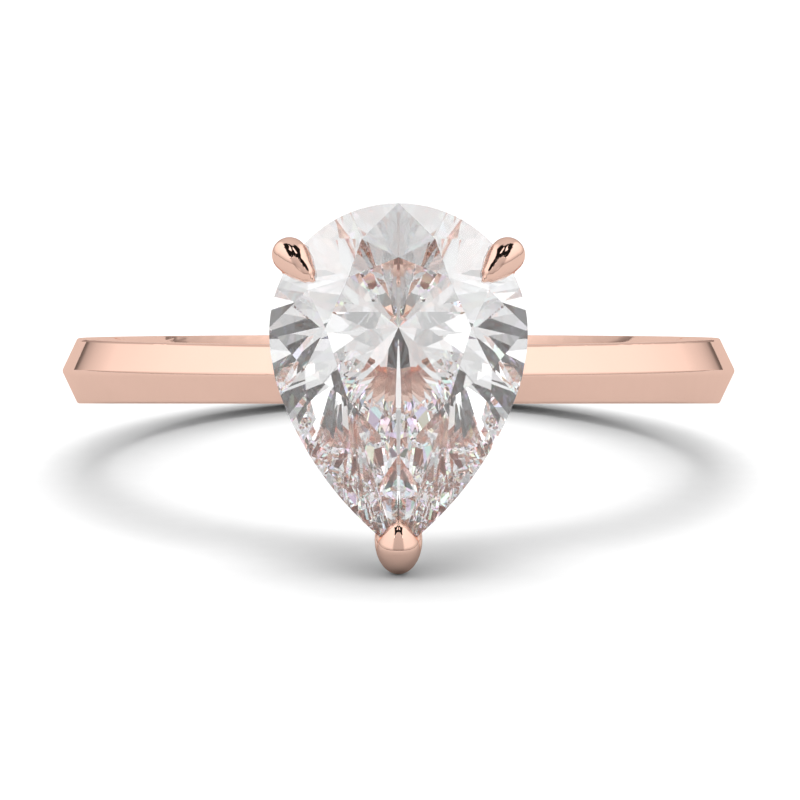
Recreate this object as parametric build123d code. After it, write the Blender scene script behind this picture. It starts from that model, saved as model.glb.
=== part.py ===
"""Solitaire engagement ring: a pear-shaped brilliant in a three-claw basket head on a knife-edge
rose gold shank.

Millimetres. The finger hole runs along Z with its centre at the origin. The table of the stone
faces -Y, and the round end of the pear points to +Z. Every piece that bears on another is cut to
it, so the pieces touch face to face.
"""

import os
from math import cos, radians, sin, sqrt

from build123d import *

# Shank
FINGER_BORE_R = 8.65
RIDGE_R = 10.275
SHOULDER_R = 9.80
BACK_HALF_WIDTH = 1.00
FRONT_HALF_WIDTH = 0.86
RIDGE_FILLET = 0.15
SHANK_EDGE_FILLET = 0.10
EDGE_SEARCH_BAND = 0.05
BORE_FLAT_HALF_WIDTH = 0.60
BORE_COMFORT_R = 4.00

# Outline of the pear in the XZ plane: a round end, then a flank arc and a tip arc on each side
ROUND_R = 3.84
ROUND_Z = 1.31
FLANK_R = 5.40
FLANK_SWEEP = 20.0
TIP_ARC_R = 10.0

# Cut of the stone
GIRDLE_Y = -13.60
GIRDLE_THICKNESS = 0.12
CROWN_HEIGHT = 1.15
PAVILION_DEPTH = 3.34
CULET_Z = 1.45
TABLE_SCALE = 0.565
STAR_DROP = 0.34

# Where the main facets stand round the culet, degrees from +X towards +Z on the +X side, and where
# the half facets between them meet the girdle. The pavilion has more of them towards the tip.
CROWN_MAINS = (90.0, 45.0, 0.0, -55.0, -90.0)
CROWN_HALVES = (67.5, 22.5, -30.0, -75.0)
PAVILION_MAINS = (90.0, 60.0, 18.0, -28.0, -56.0, -74.0, -90.0)
PAVILION_HALVES = (75.0, 39.0, -5.0, -42.0, -65.0, -82.0)
LOWER_HALF_REACHES = (0.22, 0.22, 0.22, 0.22, 0.30, 0.30)

# Gallery rails, each the pear outline shrunk towards a centre on the Z axis
UPPER_RAIL_SCALE = 0.74
UPPER_RAIL_Y = (-12.35, -11.90)
UPPER_RAIL_WIDTH = 0.40
LOWER_RAIL_SCALE = 0.42
LOWER_RAIL_CENTRE_Z = 0.60
LOWER_RAIL_Y = (-10.75, -9.95)
LOWER_RAIL_WIDTH = 0.55
RAIL_FILLET = 0.10

# Claws: blunt end, then radii along the claw as fractions of the ball radius and of the length
CLAW_POINT_R = 0.08
SHOULDER_CLAW_SHAPE = ((0.87, 0.36), (0.61, 0.62), (0.36, 0.84))
TIP_CLAW_SHAPE = ((0.93, 0.30), (0.68, 0.56), (0.32, 0.82))

# Shoulder prongs, given on the +X side: axis of the wire from base to girdle, then the claw
PRONG_WIRE_R = 0.40
SHOULDER_BASE = (1.58, -9.60, 1.22)
SHOULDER_WAIST = (3.08, -12.75, 3.19)
SHOULDER_BALL = (3.234, -13.75, 3.611)
SHOULDER_POINT = (2.507, -14.42, 2.825)
SHOULDER_BALL_R = 0.53

# Tip prong: a straight wire, then elliptical sections (centre Y, centre Z, half width, half height,
# lean in degrees) that flare into a cup round the tip of the stone, then the claw over it
TIP_WIRE_R = 0.42
TIP_BASE = (0.0, -9.45, -1.60)
TIP_WIRE_END = (0.0, -12.30, -4.36)
CUP_SECTIONS = (
    (-11.90, -3.98, 0.42, 0.42, 44.0),
    (-12.50, -4.52, 0.56, 0.58, 32.0),
    (-13.10, -4.80, 0.68, 0.90, 8.0),
    (-13.80, -4.85, 0.70, 0.986, 0.0),
)
CUP_FILLET = 0.16
TIP_BALL = (0.0, -13.72, -5.18)
TIP_POINT = (0.0, -14.22, -4.27)
TIP_BALL_R = 0.64

# Peg that joins the head to the shank
PEG_R = 0.50
PEG_END_Y = -9.40
BRIDGE_HALF_LENGTH = 1.20
BRIDGE_HALF_WIDTH = 0.40
BRIDGE_Y = (-10.52, -9.80)


def arc_point(centre, radius, degrees_from_x):
    """The point of a circle of the XZ plane at an angle from +X towards +Z."""
    angle = radians(degrees_from_x)
    return centre[0] + radius * cos(angle), centre[1] + radius * sin(angle)


ROUND_CENTRE = (0.0, ROUND_Z)
FLANK_CENTRE = (ROUND_R - FLANK_R, ROUND_Z)
FLANK_END = arc_point(FLANK_CENTRE, FLANK_R, -FLANK_SWEEP)
TIP_CENTRE = arc_point(FLANK_END, TIP_ARC_R, 180.0 - FLANK_SWEEP)
TIP_Z = TIP_CENTRE[1] - sqrt(TIP_ARC_R**2 - TIP_CENTRE[0] ** 2)


def pear_face(y, scale=1.0, centre_z=CULET_Z):
    """The pear outline at height y, shrunk towards (0, centre_z), as a flat face."""

    def place(point, side=1.0):
        x, z = point
        return Vector(side * x * scale, y, centre_z + (z - centre_z) * scale)

    flank_mid = arc_point(FLANK_CENTRE, FLANK_R, -FLANK_SWEEP / 2)
    tip = (0.0, TIP_Z)
    chord_mid = ((FLANK_END[0] + tip[0]) / 2, (FLANK_END[1] + tip[1]) / 2)
    away = Vector(chord_mid[0] - TIP_CENTRE[0], chord_mid[1] - TIP_CENTRE[1]).normalized()
    tip_mid = (TIP_CENTRE[0] + TIP_ARC_R * away.X, TIP_CENTRE[1] + TIP_ARC_R * away.Y)
    widest = (ROUND_R, ROUND_Z)
    crest = (0.0, ROUND_Z + ROUND_R)
    edges = [ThreePointArc(place(widest), place(crest), place(widest, -1.0))]
    for side in (1.0, -1.0):
        edges.append(
            ThreePointArc(place(widest, side), place(flank_mid, side), place(FLANK_END, side))
        )
        edges.append(ThreePointArc(place(FLANK_END, side), place(tip_mid, side), place(tip)))
    return make_face(Wire(edges))


def outline_hit(degrees_from_x):
    """Where a ray from the culet meets the +X half of the outline, with the outward normal."""
    angle = radians(degrees_from_x)
    ray = Vector(cos(angle), sin(angle))
    start = Vector(0.0, CULET_Z)
    bands = (
        (ROUND_CENTRE, ROUND_R, ROUND_Z, ROUND_Z + ROUND_R),
        (FLANK_CENTRE, FLANK_R, FLANK_END[1], ROUND_Z),
        (TIP_CENTRE, TIP_ARC_R, TIP_Z, FLANK_END[1]),
    )
    for centre, radius, low, high in bands:
        offset = start - Vector(*centre)
        along = ray.dot(offset)
        reach = along**2 - offset.dot(offset) + radius**2
        if reach < 0:
            continue
        point = start + ray * (sqrt(reach) - along)
        if low - 1e-6 <= point.Y <= high + 1e-6:
            on_axis = abs(point.X) < 1e-6
            normal = ray if on_axis else (point - Vector(*centre)).normalized()
            return point, normal
    raise ValueError("the ray misses the outline")


def crossing(point_a, normal_a, point_b, normal_b):
    """The crossing of two lines of the XZ plane, each given by a point and its normal."""
    a = normal_a.dot(point_a)
    b = normal_b.dot(point_b)
    det = normal_a.X * normal_b.Y - normal_a.Y * normal_b.X
    return Vector(
        (a * normal_b.Y - b * normal_a.Y) / det,
        (normal_a.X * b - normal_b.X * a) / det,
    )


def at_height(point, height):
    """A plan point of the stone at a height above the girdle, as a point in space."""
    return Vector(point.X, GIRDLE_Y - height, point.Y)


def outward_plane(a, b, c):
    """The plane through three points whose normal points away from the middle of the stone."""
    normal = (b - a).cross(c - a).normalized()
    middle = Vector(0.0, GIRDLE_Y, 0.0)
    if normal.dot(a - middle) < 0:
        normal = normal * -1.0
    return Plane(origin=a, z_dir=normal)


def crown_planes():
    """The facets above the girdle on the +X half of the stone, all but the table."""
    rim = GIRDLE_THICKNESS / 2
    culet = Vector(0.0, CULET_Z)
    mains = [outline_hit(azimuth) for azimuth in CROWN_MAINS]
    corners = [culet + (point - culet) * TABLE_SCALE for point, _ in mains]
    planes = []
    for (point, normal), corner in zip(mains, corners):
        tangent = Vector(-normal.Y, normal.X)
        foot = at_height(point, rim)
        beside = at_height(point + tangent, rim)
        planes.append(outward_plane(foot, beside, at_height(corner, rim + CROWN_HEIGHT)))
    for i, azimuth in enumerate(CROWN_HALVES):
        half = outline_hit(azimuth)[0]
        (point_a, normal_a), (point_b, normal_b) = mains[i], mains[i + 1]
        inner = crossing(corners[i], normal_a, corners[i + 1], normal_b)
        outer = crossing(point_a, normal_a, point_b, normal_b)
        high = at_height(inner, rim + CROWN_HEIGHT)
        kite = high + (at_height(outer, rim) - high) * STAR_DROP
        table_a = at_height(corners[i], rim + CROWN_HEIGHT)
        table_b = at_height(corners[i + 1], rim + CROWN_HEIGHT)
        planes.append(outward_plane(table_a, table_b, kite))
        for point in (point_a, point_b):
            planes.append(outward_plane(at_height(point, rim), at_height(half, rim), kite))
    return planes


def pavilion_planes():
    """The facets below the girdle on the +X half of the stone."""
    rim = -GIRDLE_THICKNESS / 2
    keel = at_height(Vector(0.0, CULET_Z), rim - PAVILION_DEPTH)
    mains = [outline_hit(azimuth) for azimuth in PAVILION_MAINS]
    planes = []
    for point, normal in mains:
        tangent = Vector(-normal.Y, normal.X)
        planes.append(
            outward_plane(at_height(point, rim), at_height(point + tangent, rim), keel)
        )
    for i, (azimuth, reach) in enumerate(zip(PAVILION_HALVES, LOWER_HALF_REACHES)):
        half = outline_hit(azimuth)[0]
        (point_a, normal_a), (point_b, normal_b) = mains[i], mains[i + 1]
        outer = crossing(point_a, normal_a, point_b, normal_b)
        deep = keel + (at_height(outer, rim) - keel) * reach
        for point in (point_a, point_b):
            planes.append(outward_plane(at_height(point, rim), at_height(half, rim), deep))
    return planes


def pear_diamond():
    """A brilliant-cut pear: the outline extruded from culet to table, then cut facet by facet."""
    rim = GIRDLE_THICKNESS / 2
    table_y = GIRDLE_Y - rim - CROWN_HEIGHT
    height = GIRDLE_THICKNESS + CROWN_HEIGHT + PAVILION_DEPTH
    stone = extrude(pear_face(table_y), height, dir=(0, 1, 0))
    for plane in crown_planes() + pavilion_planes():
        stone = split(stone, bisect_by=plane, keep=Keep.BOTTOM)
        if abs(plane.z_dir.X) > 1e-6:
            other = Plane(
                origin=(-plane.origin.X, plane.origin.Y, plane.origin.Z),
                z_dir=(-plane.z_dir.X, plane.z_dir.Y, plane.z_dir.Z),
            )
            stone = split(stone, bisect_by=other, keep=Keep.BOTTOM)
    return stone


def teardrop(ball, point, radius, shape):
    """A claw: round at the ball end, drawn out to a small blunt point."""
    axis = Vector(*point) - Vector(*ball)
    length = axis.length
    side = Spline(
        (radius, 0.0),
        *[(across * radius, along * length) for across, along in shape],
        (CLAW_POINT_R, length - CLAW_POINT_R),
        tangents=[(0.0, 1.0), (-0.5, 1.0)],
    )
    slant = sqrt(0.5)
    heel = ThreePointArc((0.0, -radius), (radius * slant, -radius * slant), (radius, 0.0))
    blunt = CLAW_POINT_R * slant
    toe = ThreePointArc(
        (CLAW_POINT_R, length - CLAW_POINT_R), (blunt, length - CLAW_POINT_R + blunt), (0.0, length)
    )
    closing = Line((0.0, length), (0.0, -radius))
    profile = Plane.XZ * make_face(Wire([heel, side, toe, closing]))
    body = revolve(profile, Axis.Z, 360.0)
    return Plane(origin=ball, z_dir=axis) * body


def wire(points, radius):
    """A round wire along a smooth curve through the points."""
    path = Spline(*[Vector(*p) for p in points])
    start = Plane(origin=path @ 0, z_dir=path % 0)
    return sweep(start * Circle(radius), path=path)


def flush_with_rail(body):
    """The body cut off level with the foot of the lower rail."""
    foot = Plane(origin=(0.0, LOWER_RAIL_Y[1], 0.0), z_dir=(0, 1, 0))
    return split(body, bisect_by=foot, keep=Keep.BOTTOM)


def shoulder_prong(side):
    """A prong of the round end: a wire up from the lower rail, turned over as a claw."""
    points = [
        (side * x, y, z) for x, y, z in (SHOULDER_BASE, SHOULDER_WAIST, SHOULDER_BALL)
    ]
    point = (side * SHOULDER_POINT[0], SHOULDER_POINT[1], SHOULDER_POINT[2])
    claw = teardrop(points[-1], point, SHOULDER_BALL_R, SHOULDER_CLAW_SHAPE)
    return flush_with_rail(wire(points, PRONG_WIRE_R)) + claw


def tip_prong():
    """The prong at the tip: a wire that flares into a cup, with a claw folded over the stone."""
    axis = Vector(*TIP_WIRE_END) - Vector(*TIP_BASE)
    stem = Plane(origin=TIP_BASE, z_dir=axis) * Cylinder(
        TIP_WIRE_R, axis.length, align=(Align.CENTER, Align.CENTER, Align.MIN)
    )
    sections = []
    for y, z, half_width, half_height, lean in CUP_SECTIONS:
        normal = Vector(0.0, -cos(radians(lean)), -sin(radians(lean)))
        plane = Plane(origin=(0.0, y, z), x_dir=(1, 0, 0), z_dir=normal)
        sections.append(plane * Ellipse(half_width, half_height))
    flare = loft(sections)
    front = flare.faces().sort_by(Axis.Y)[0]
    flare = fillet(front.edges(), CUP_FILLET)
    window = extrude(pear_face(GIRDLE_Y), CROWN_HEIGHT, dir=(0, -1, 0))
    cup = flare + flush_with_rail(stem) - window
    return cup + teardrop(TIP_BALL, TIP_POINT, TIP_BALL_R, TIP_CLAW_SHAPE)


def rail(scale, centre_z, y_range, width):
    """A pear-shaped gallery rail of rectangular wire with softened edges."""
    low, high = y_range
    middle = pear_face(low, scale, centre_z)
    band = offset(middle, amount=width / 2) - offset(middle, amount=-width / 2)
    ring = extrude(band, high - low, dir=(0, 1, 0))
    return fillet(ring.edges(), RAIL_FILLET)


def radius_at(edge):
    """How far the middle of an edge is from the axis of the finger hole."""
    middle = edge @ 0.5
    return sqrt(middle.X**2 + middle.Y**2)


def is_hoop(edge):
    """Whether an edge of the band runs all the way round it."""
    return edge.length > BACK_HALF_WIDTH * 3


def is_ridge(edge):
    """Whether an edge of the band is its knife edge."""
    return is_hoop(edge) and radius_at(edge) > RIDGE_R - EDGE_SEARCH_BAND


def is_shoulder_edge(edge):
    """Whether an edge of the band is an outer corner of a flat side."""
    return is_hoop(edge) and abs(radius_at(edge) - SHOULDER_R) < EDGE_SEARCH_BAND


def bore_drop(rise):
    """How far the rounded side of the bore falls back at a height above its flat middle."""
    return BORE_COMFORT_R - sqrt(BORE_COMFORT_R**2 - rise**2)


def shank():
    """The band: a knife edge outside, a bore with eased sides, slimmer towards the stone."""
    half = BACK_HALF_WIDTH
    flat = BORE_FLAT_HALF_WIDTH
    rise = half - flat
    rim = FINGER_BORE_R + bore_drop(rise)
    mid = FINGER_BORE_R + bore_drop(rise / 2)
    outside = Polyline(
        (rim, -half), (SHOULDER_R, -half), (RIDGE_R, 0.0), (SHOULDER_R, half), (rim, half)
    )
    eased = [
        ThreePointArc(
            (FINGER_BORE_R, side * flat), (mid, side * (flat + rise / 2)), (rim, side * half)
        )
        for side in (1.0, -1.0)
    ]
    middle = Line((FINGER_BORE_R, -flat), (FINGER_BORE_R, flat))
    section = make_face(Wire([*outside.edges(), *eased, middle]))
    ring = revolve(Plane.XZ * section, Axis.Z, 360.0)
    for side in (1.0, -1.0):
        normal = (0.0, FRONT_HALF_WIDTH - half, side * RIDGE_R)
        trim = Plane(origin=(0.0, 0.0, side * half), z_dir=normal)
        ring = split(ring, bisect_by=trim, keep=Keep.BOTTOM)
    ring = fillet(ring.edges().filter_by(is_ridge), RIDGE_FILLET)
    return fillet(ring.edges().filter_by(is_shoulder_edge), SHANK_EDGE_FILLET)


def peg_and_bridge():
    """The peg as two bodies: the pin that enters the shank and the bridge across the head."""
    low, high = BRIDGE_Y
    pin = Plane(origin=(0.0, low, 0.0), z_dir=(0, 1, 0)) * Cylinder(
        PEG_R, PEG_END_Y - low, align=(Align.CENTER, Align.CENTER, Align.MIN)
    )
    bridge = Pos(0.0, (low + high) / 2, 0.0) * Box(
        2 * BRIDGE_HALF_LENGTH, high - low, 2 * BRIDGE_HALF_WIDTH
    )
    return pin, bridge


diamond = pear_diamond()
prong_right = shoulder_prong(1.0) - diamond
prong_left = shoulder_prong(-1.0) - diamond
prong_tip = tip_prong() - diamond
pin, bridge = peg_and_bridge()
band = shank() - pin
prongs = prong_right + prong_left + prong_tip
upper_rail = rail(UPPER_RAIL_SCALE, CULET_Z, UPPER_RAIL_Y, UPPER_RAIL_WIDTH) - prongs - diamond
lower_rail = rail(LOWER_RAIL_SCALE, LOWER_RAIL_CENTRE_Z, LOWER_RAIL_Y, LOWER_RAIL_WIDTH)
lower_rail = lower_rail - prongs - band
head_peg = (bridge - band - lower_rail) + pin

NODES = {
    "shank": band,
    "head_peg": head_peg,
    "lower_gallery_rail": lower_rail,
    "upper_gallery_rail": upper_rail,
    "prong_left": prong_left,
    "prong_right": prong_right,
    "prong_tip": prong_tip,
    "pear_diamond": diamond,
}

os.makedirs("parts", exist_ok=True)
for name, body in NODES.items():
    body.label = name
    export_step(body, f"parts/{name}.step")
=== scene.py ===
"""Studio scene for the pear solitaire ring: camera, floor, light and materials."""

from math import cos, radians, sin

import bpy
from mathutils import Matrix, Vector

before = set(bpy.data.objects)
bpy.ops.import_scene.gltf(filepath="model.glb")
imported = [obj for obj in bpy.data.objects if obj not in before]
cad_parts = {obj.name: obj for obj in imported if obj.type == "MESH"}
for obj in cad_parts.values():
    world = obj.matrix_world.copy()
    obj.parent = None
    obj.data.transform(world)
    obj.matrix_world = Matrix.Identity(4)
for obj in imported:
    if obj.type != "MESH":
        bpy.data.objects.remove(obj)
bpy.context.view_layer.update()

MM = 0.001

METAL_NODES = (
    "shank",
    "head_peg",
    "lower_gallery_rail",
    "upper_gallery_rail",
    "prong_left",
    "prong_right",
    "prong_tip",
)
STONE_NODES = ("pear_diamond",)

# Metal and stone. A noise is given as grains per millimetre and detail.
EVENLY = (1, 1, 1)
GOLD_TONES = ((0.885, 0.590, 0.480), (0.905, 0.600, 0.492))
GOLD_CLOUDS = (0.45, 3.0)
GOLD_HAZE = (2.2, 6.0)
GOLD_ROUGHNESS = (0.035, 0.070)
HAIRLINES = (9.0, 2.0)
HAIRLINE_STRETCH = (0.12, 0.12, 1.0)
HAIRLINE_STRENGTH = 0.10
HAIRLINE_DEPTH_MM = 0.0006
STONE_TONES = ((0.965, 0.972, 0.980), (1.0, 1.0, 1.0))
STONE_CLOUDS = (1.1, 4.0)
DIAMOND_IOR = 2.417

# Floor, lighter for the camera than in reflections
FLOOR_HALF_SIZE = 4000.0 * MM
FLOOR_IN_REFLECTIONS = 0.61
FLOOR_SEEN = 0.92
FLOOR_FIBRES = (1.5, 5.0)
FLOOR_TONES = ((0.985, 0.985, 0.985), (1.0, 1.0, 1.0))
TILT_SEARCH = (radians(5.0), radians(20.0))
TILT_STEPS = 40

# Overhead softbox
SUN_ENERGY = 2.1
SUN_ANGLE = radians(54.0)
SUN_BEHIND = radians(23.0)

# Brightness of the dome from level with the floor (0) to straight overhead (1)
DOME_LEVELS = (
    (0.0, 0.20),
    (0.025, 0.30),
    (0.045, 0.56),
    (0.12, 0.66),
    (0.255, 0.92),
    (0.49, 1.04),
    (0.745, 1.12),
    (1.0, 1.22),
)

# Card behind the camera, and the brighter sides: where each ramp starts and ends, and its level there.
# Places in the surroundings are parts of a unit direction.
FRONT_CARD = (-0.92, -0.60, 0.45, 0.0)
SIDE_BOXES = (0.40, 0.60, 0.70, 1.24)

# Dark screen in front of the ring, with bright panes. As the random value of a cell of its pattern
# passes the first two numbers of PANES, its loss of light goes from the third to the fourth, a gain.
SCREEN_LOW = sin(radians(34.0))
SCREEN_HIGH = sin(radians(74.0))
SCREEN_HALF_WIDTH = 0.50
SCREEN_SLANT = 0.60
SCREEN_SOFT_EDGE = 0.02
SCREEN_SOFT_SIDE = 0.03
PANE_SCALE = 6.0
PANES = (0.62, 0.64, 0.985, -0.9)

# Light and dark cards, and a weak spectrum, that rays meet only after several bounces
CARD_SCALE = 2.6
CARD_TONES = (0.52, 1.66)
CARD_DEPTHS = (2.0, 4.0)
SPECTRUM_SCALE = 17.0
SPECTRUM_DEPTHS = (5.0, 10.0)
SPECTRUM_SHARE = 0.27

# Camera
SENSOR_WIDTH = 36.0
CAMERA_DISTANCE = 500.0 * MM
CAMERA_LIFT = radians(0.8)
CAMERA_CLIP = (0.01, 10.0)
TARGET = Vector((0.045, 0.0, -0.893)) * MM
FIELD = 24.43 * MM
MAX_BOUNCES = 40


# ---------------------------------------------------------------- shader helpers
def node_tree(owner):
    owner.use_nodes = True
    owner.node_tree.nodes.clear()
    return owner.node_tree


def add(tree, kind, **settings):
    node = tree.nodes.new(kind)
    for key, value in settings.items():
        setattr(node, key, value)
    return node


def noise(tree, grains, stretch=EVENLY):
    """Noise in the shared frame, from its grains per millimetre and its detail."""
    per_mm, detail = grains
    place = add(tree, "ShaderNodeTexCoord")
    size = add(tree, "ShaderNodeMapping")
    size.inputs["Scale"].default_value = [axis * per_mm / MM for axis in stretch]
    grain = add(tree, "ShaderNodeTexNoise")
    grain.inputs["Scale"].default_value = 1.0
    grain.inputs["Detail"].default_value = detail
    tree.links.new(place.outputs["Object"], size.inputs["Vector"])
    tree.links.new(size.outputs["Vector"], grain.inputs["Vector"])
    return grain.outputs["Fac"]


def spread_of(tree, value, low, high):
    """A value from noise, which lies mostly between 0.3 and 0.7, stretched to low to high."""
    node = add(tree, "ShaderNodeMapRange")
    node.inputs["From Min"].default_value = 0.3
    node.inputs["From Max"].default_value = 0.7
    node.inputs["To Min"].default_value = low
    node.inputs["To Max"].default_value = high
    tree.links.new(value, node.inputs["Value"])
    return node.outputs["Result"]


def colour_between(tree, value, first, second):
    node = add(tree, "ShaderNodeMix", data_type="RGBA", blend_type="MIX")
    node.inputs["A"].default_value = (*first, 1.0)
    node.inputs["B"].default_value = (*second, 1.0)
    tree.links.new(value, node.inputs["Factor"])
    return node.outputs["Result"]


def multiplied(tree, first, second):
    """The product of two colours."""
    node = add(tree, "ShaderNodeMix", data_type="RGBA", blend_type="MULTIPLY")
    node.inputs["Factor"].default_value = 1.0
    tree.links.new(first, node.inputs["A"])
    tree.links.new(second, node.inputs["B"])
    return node.outputs["Result"]


def cloudy(tree, grains, tones):
    """A colour that drifts between two tones."""
    cloud = spread_of(tree, noise(tree, grains), 0.0, 1.0)
    return colour_between(tree, cloud, *tones)


def relief(tree, value, strength, height_mm):
    bump = add(tree, "ShaderNodeBump")
    bump.inputs["Strength"].default_value = strength
    bump.inputs["Distance"].default_value = height_mm * MM
    tree.links.new(value, bump.inputs["Height"])
    return bump.outputs["Normal"]


# ---------------------------------------------------------------- materials
def rose_gold():
    """Polished 14 carat rose gold: cloudy alloy tone, buffing haze and hairline scratches."""
    mat = bpy.data.materials.new("polished_rose_gold")
    tree = node_tree(mat)
    out = add(tree, "ShaderNodeOutputMaterial")
    gold = add(tree, "ShaderNodeBsdfAnisotropic")
    haze = spread_of(tree, noise(tree, GOLD_HAZE), *GOLD_ROUGHNESS)
    hairlines = noise(tree, HAIRLINES, HAIRLINE_STRETCH)
    scratches = relief(tree, hairlines, HAIRLINE_STRENGTH, HAIRLINE_DEPTH_MM)
    tree.links.new(cloudy(tree, GOLD_CLOUDS, GOLD_TONES), gold.inputs["Color"])
    tree.links.new(haze, gold.inputs["Roughness"])
    tree.links.new(scratches, gold.inputs["Normal"])
    tree.links.new(gold.outputs[0], out.inputs["Surface"])
    return mat


def diamond():
    """A colourless diamond with the faintest cloud in its body tone."""
    mat = bpy.data.materials.new("diamond")
    tree = node_tree(mat)
    out = add(tree, "ShaderNodeOutputMaterial")
    glass = add(tree, "ShaderNodeBsdfPrincipled")
    glass.inputs["Roughness"].default_value = 0.0
    glass.inputs["IOR"].default_value = DIAMOND_IOR
    glass.inputs["Transmission Weight"].default_value = 1.0
    tone = cloudy(tree, STONE_CLOUDS, STONE_TONES)
    tree.links.new(tone, glass.inputs["Base Color"])
    tree.links.new(glass.outputs[0], out.inputs["Surface"])
    return mat


def white_floor():
    """Matt white paper with a faint fibre, lighter for the camera than in reflections."""
    mat = bpy.data.materials.new("white_floor")
    tree = node_tree(mat)
    out = add(tree, "ShaderNodeOutputMaterial")
    paper = add(tree, "ShaderNodeBsdfDiffuse")
    path = add(tree, "ShaderNodeLightPath")
    tone = add(tree, "ShaderNodeMapRange")
    tone.inputs["To Min"].default_value = FLOOR_IN_REFLECTIONS
    tone.inputs["To Max"].default_value = FLOOR_SEEN
    tree.links.new(path.outputs["Is Camera Ray"], tone.inputs["Value"])
    fibre = cloudy(tree, FLOOR_FIBRES, FLOOR_TONES)
    shade = multiplied(tree, tone.outputs["Result"], fibre)
    tree.links.new(shade, paper.inputs["Color"])
    tree.links.new(paper.outputs[0], out.inputs["Surface"])
    return mat


def dress(names, material):
    """Give one material to every slot of the named pieces."""
    for name in names:
        for slot in bpy.data.objects[name].material_slots:
            slot.material = material


# ---------------------------------------------------------------- floor
def resting_plane():
    """Slope and offset of the plane that touches the tip prong and the back of the band."""
    tip = [v.co for v in bpy.data.objects["prong_tip"].data.vertices]
    band = [v.co for v in bpy.data.objects["shank"].data.vertices if v.co.y > 0]
    low, high = TILT_SEARCH
    for _ in range(TILT_STEPS):
        angle = (low + high) / 2
        normal = Vector((0.0, -sin(angle), cos(angle)))
        tip_low = min(normal.dot(p) for p in tip)
        band_low = min(normal.dot(p) for p in band)
        if tip_low > band_low:
            high = angle
        else:
            low = angle
    return normal, min(tip_low, band_low)


def studio_floor(normal, offset):
    """A square of floor on the resting plane."""
    along = Vector((0.0, normal.z, -normal.y))
    corners = [
        normal * offset + (Vector((x, 0, 0)) + along * y) * FLOOR_HALF_SIZE
        for x, y in ((-1, -1), (1, -1), (1, 1), (-1, 1))
    ]
    mesh = bpy.data.meshes.new("studio_floor")
    mesh.from_pydata(corners, [], [(0, 1, 2, 3)])
    mesh.materials.append(white_floor())
    floor = bpy.data.objects.new("studio_floor", mesh)
    bpy.context.collection.objects.link(floor)
    return floor


# ---------------------------------------------------------------- light
def overhead_softbox(normal):
    """A wide soft sun above and a little behind the ring, which no reflection shows."""
    along = Vector((0.0, normal.z, -normal.y))
    toward_sun = normal * cos(SUN_BEHIND) + along * sin(SUN_BEHIND)
    data = bpy.data.lights.new("overhead_softbox", "SUN")
    data.energy = SUN_ENERGY
    data.angle = SUN_ANGLE
    sun = bpy.data.objects.new("overhead_softbox", data)
    sun.rotation_euler = toward_sun.to_track_quat("Z", "Y").to_euler()
    sun.visible_glossy = False
    sun.visible_transmission = False
    bpy.context.collection.objects.link(sun)


def ramp_between(tree, value, start, end, low, high):
    """A smooth step from low to high as a value runs from start to end."""
    node = add(tree, "ShaderNodeMapRange", interpolation_type="SMOOTHSTEP")
    node.inputs["From Min"].default_value = start
    node.inputs["From Max"].default_value = end
    node.inputs["To Min"].default_value = low
    node.inputs["To Max"].default_value = high
    tree.links.new(value, node.inputs["Value"])
    return node.outputs["Result"]


def combine(tree, operation, first, second):
    """Maths on two values, each a socket or a plain number."""
    node = add(tree, "ShaderNodeMath", operation=operation)
    for socket, value in zip(node.inputs, (first, second)):
        if isinstance(value, float):
            socket.default_value = value
        else:
            tree.links.new(value, socket)
    return node.outputs[0]


def cells(tree, vector, scale):
    """The random colour of each cell of a Voronoi pattern, split into its channels."""
    pattern = add(tree, "ShaderNodeTexVoronoi", voronoi_dimensions="3D")
    pattern.inputs["Scale"].default_value = scale
    tree.links.new(vector, pattern.inputs["Vector"])
    parts = add(tree, "ShaderNodeSeparateColor")
    tree.links.new(pattern.outputs["Color"], parts.inputs[0])
    return parts.outputs


def dome_colour(tree, direction, normal):
    """The dome's grey, from its height above the floor."""
    height = add(tree, "ShaderNodeVectorMath", operation="DOT_PRODUCT")
    height.inputs[1].default_value = normal
    tree.links.new(direction, height.inputs[0])
    dome = add(tree, "ShaderNodeValToRGB")
    elements = dome.color_ramp.elements
    while len(elements) < len(DOME_LEVELS):
        elements.new(0.5)
    for element, (position, level) in zip(elements, DOME_LEVELS):
        element.position = position
        element.color = (level, level, level, 1.0)
    tree.links.new(height.outputs["Value"], dome.inputs[0])
    return dome.outputs["Color"]


def lit_through_screen(tree, across, sideways):
    """The light that the screen leaves: 1 outside it, near 0 behind it, more than 1 in its panes."""
    z = across.outputs["Z"]
    slant = combine(tree, "MULTIPLY", sideways, SCREEN_SLANT)
    slanted = combine(tree, "ADD", z, slant)
    above = ramp_between(tree, slanted, SCREEN_LOW - SCREEN_SOFT_EDGE, SCREEN_LOW, 0.0, 1.0)
    below = ramp_between(tree, z, SCREEN_HIGH, SCREEN_HIGH + SCREEN_SOFT_EDGE, 1.0, 0.0)
    side = SCREEN_HALF_WIDTH
    within = ramp_between(tree, sideways, side, side + SCREEN_SOFT_SIDE, 1.0, 0.0)
    ahead = ramp_between(tree, across.outputs["Y"], -SCREEN_SOFT_EDGE, 0.0, 1.0, 0.0)
    screen = combine(
        tree,
        "MULTIPLY",
        combine(tree, "MULTIPLY", above, below),
        combine(tree, "MULTIPLY", within, ahead),
    )
    mirrored = add(tree, "ShaderNodeCombineXYZ")
    tree.links.new(sideways, mirrored.inputs["X"])
    tree.links.new(z, mirrored.inputs["Z"])
    pane = cells(tree, mirrored.outputs[0], PANE_SCALE)
    loss = ramp_between(tree, pane[0], *PANES)
    return combine(tree, "SUBTRACT", 1.0, combine(tree, "MULTIPLY", screen, loss))


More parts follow.
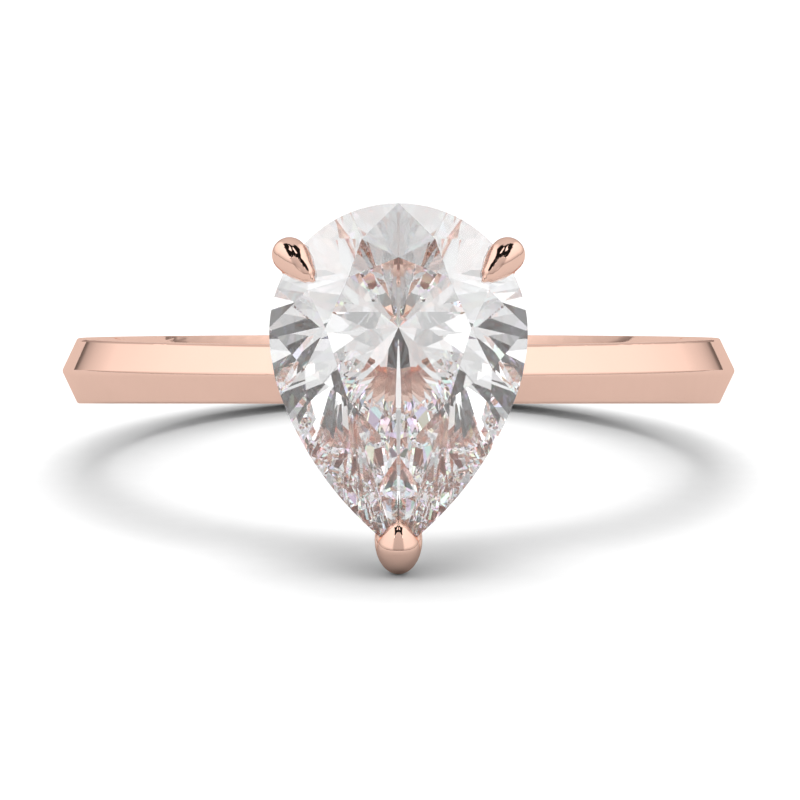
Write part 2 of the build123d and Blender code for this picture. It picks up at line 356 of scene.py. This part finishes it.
def card_strength(tree, direction, depth):
    """Light and dark cards, 1 for rays with few bounces."""
    card = cells(tree, direction, CARD_SCALE)
    tone = ramp_between(tree, card[1], 0.0, 1.0, *CARD_TONES)
    inside = ramp_between(tree, depth, *CARD_DEPTHS, 0.0, 1.0)
    spread = combine(tree, "MULTIPLY", combine(tree, "SUBTRACT", tone, 1.0), inside)
    return combine(tree, "ADD", spread, 1.0)


def spectrum_tint(tree, direction, depth):
    """White that turns into weak spectral colours for rays with many bounces."""
    vivid = cells(tree, direction, SPECTRUM_SCALE)
    hue = add(tree, "ShaderNodeCombineColor", mode="HSV")
    hue.inputs[1].default_value = 1.0
    hue.inputs[2].default_value = 1.0
    tree.links.new(vivid[0], hue.inputs[0])
    tint = add(tree, "ShaderNodeMix", data_type="RGBA", blend_type="MIX")
    tint.inputs["A"].default_value = (1.0, 1.0, 1.0, 1.0)
    fire = ramp_between(tree, depth, *SPECTRUM_DEPTHS, 0.0, SPECTRUM_SHARE)
    tree.links.new(hue.outputs[0], tint.inputs["B"])
    tree.links.new(fire, tint.inputs["Factor"])
    return tint.outputs["Result"]


def studio_world(normal):
    """The surroundings: dome, cards, side boxes and screen, and plain white for the camera."""
    world = bpy.data.worlds.new("studio")
    bpy.context.scene.world = world
    tree = node_tree(world)
    out = add(tree, "ShaderNodeOutputWorld")
    direction = add(tree, "ShaderNodeTexCoord").outputs["Generated"]
    path = add(tree, "ShaderNodeLightPath")
    depth = path.outputs["Ray Depth"]
    across = add(tree, "ShaderNodeSeparateXYZ")
    tree.links.new(direction, across.inputs[0])
    sideways = combine(tree, "ABSOLUTE", across.outputs["X"], 0.0)

    front_card = ramp_between(tree, across.outputs["Y"], *FRONT_CARD)
    sky = combine(tree, "MAXIMUM", dome_colour(tree, direction, normal), front_card)
    side_boxes = ramp_between(tree, sideways, *SIDE_BOXES)
    boxes = combine(tree, "MULTIPLY", lit_through_screen(tree, across, sideways), side_boxes)
    strength = combine(tree, "MULTIPLY", boxes, card_strength(tree, direction, depth))

    surroundings = add(tree, "ShaderNodeBackground")
    coloured = multiplied(tree, sky, spectrum_tint(tree, direction, depth))
    tree.links.new(coloured, surroundings.inputs["Color"])
    tree.links.new(strength, surroundings.inputs["Strength"])
    seen = add(tree, "ShaderNodeBackground")
    seen.inputs["Color"].default_value = (1.0, 1.0, 1.0, 1.0)
    mix = add(tree, "ShaderNodeMixShader")
    tree.links.new(path.outputs["Is Camera Ray"], mix.inputs[0])
    tree.links.new(surroundings.outputs[0], mix.inputs[1])
    tree.links.new(seen.outputs[0], mix.inputs[2])
    tree.links.new(mix.outputs[0], out.inputs["Surface"])


# ---------------------------------------------------------------- camera
def studio_camera():
    """A long lens in front of the stone, tipped down by less than a degree."""
    data = bpy.data.cameras.new("camera")
    data.sensor_width = SENSOR_WIDTH
    data.lens = SENSOR_WIDTH * CAMERA_DISTANCE / FIELD
    data.clip_start, data.clip_end = CAMERA_CLIP
    camera = bpy.data.objects.new("camera", data)
    aim = Vector((0.0, cos(CAMERA_LIFT), -sin(CAMERA_LIFT)))
    camera.location = TARGET - aim * CAMERA_DISTANCE
    camera.rotation_euler = aim.to_track_quat("-Z", "Y").to_euler()
    bpy.context.collection.objects.link(camera)
    bpy.context.scene.camera = camera


def light_paths(scene):
    """Enough bounces for the facets, no caustics, and plain display colours."""
    scene.view_settings.view_transform = "Standard"
    scene.cycles.max_bounces = MAX_BOUNCES
    scene.cycles.transmission_bounces = MAX_BOUNCES
    scene.cycles.glossy_bounces = MAX_BOUNCES
    scene.cycles.caustics_refractive = False
    scene.cycles.caustics_reflective = False


dress(METAL_NODES, rose_gold())
dress(STONE_NODES, diamond())
floor_normal, floor_offset = resting_plane()
studio_floor(floor_normal, floor_offset)
overhead_softbox(floor_normal)
studio_world(floor_normal)
studio_camera()
light_paths(bpy.context.scene)
